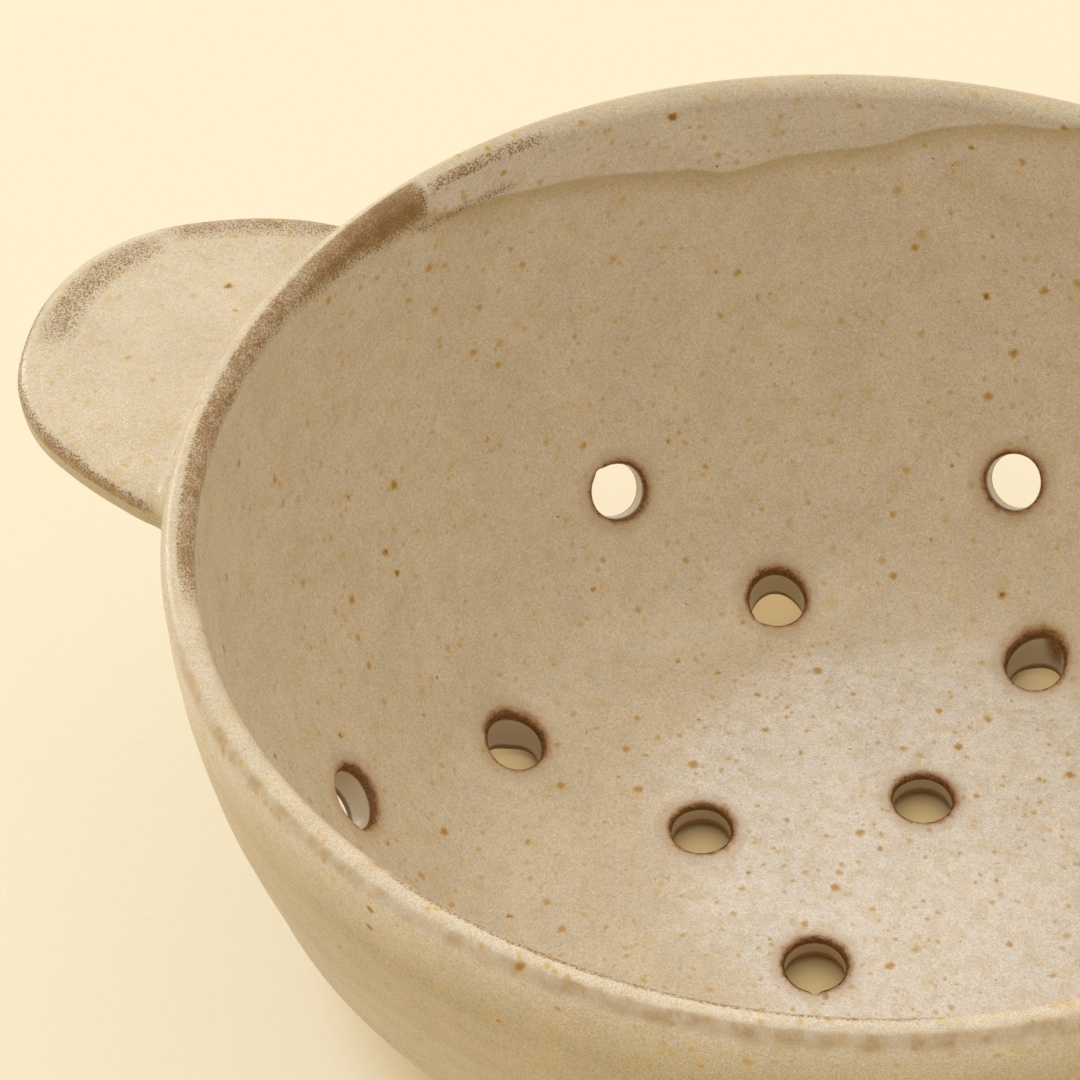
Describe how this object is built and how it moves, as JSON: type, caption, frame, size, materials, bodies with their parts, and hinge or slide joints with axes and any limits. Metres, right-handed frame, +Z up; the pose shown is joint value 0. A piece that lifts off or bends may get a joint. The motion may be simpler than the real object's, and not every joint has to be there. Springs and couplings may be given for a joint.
{
  "type": "berry colander bowl",
  "caption": "Round stoneware berry bowl on a low foot ring, with drain holes through its floor, heel and belly and two flat ear handles below its lip.",
  "frame": {"origin": "centre of the bounding box's bottom: under the middle of the foot ring, on the resting plane", "axes": "+Z up along the bowl's axis, the handles along X, the pictured handle on -X"},
  "size_m": [0.2168, 0.16, 0.0765],
  "materials": {
    "bowl_glaze": "satin oatmeal glaze with iron speckle",
    "handle_glaze": "satin oatmeal glaze, breaking brown at the edges",
    "coil_glaze": "satin oatmeal glaze, thick in the corner",
    "bare_clay": "unglazed, fired brown"
  },
  "bodies": {
    "root": {"bowl_body": "bowl_glaze", "foot_ring": "bare_clay", "left_handle": "handle_glaze", "right_handle": "handle_glaze", "left_handle_coils": "coil_glaze", "right_handle_coils": "coil_glaze"}
  },
  "joints": []
}
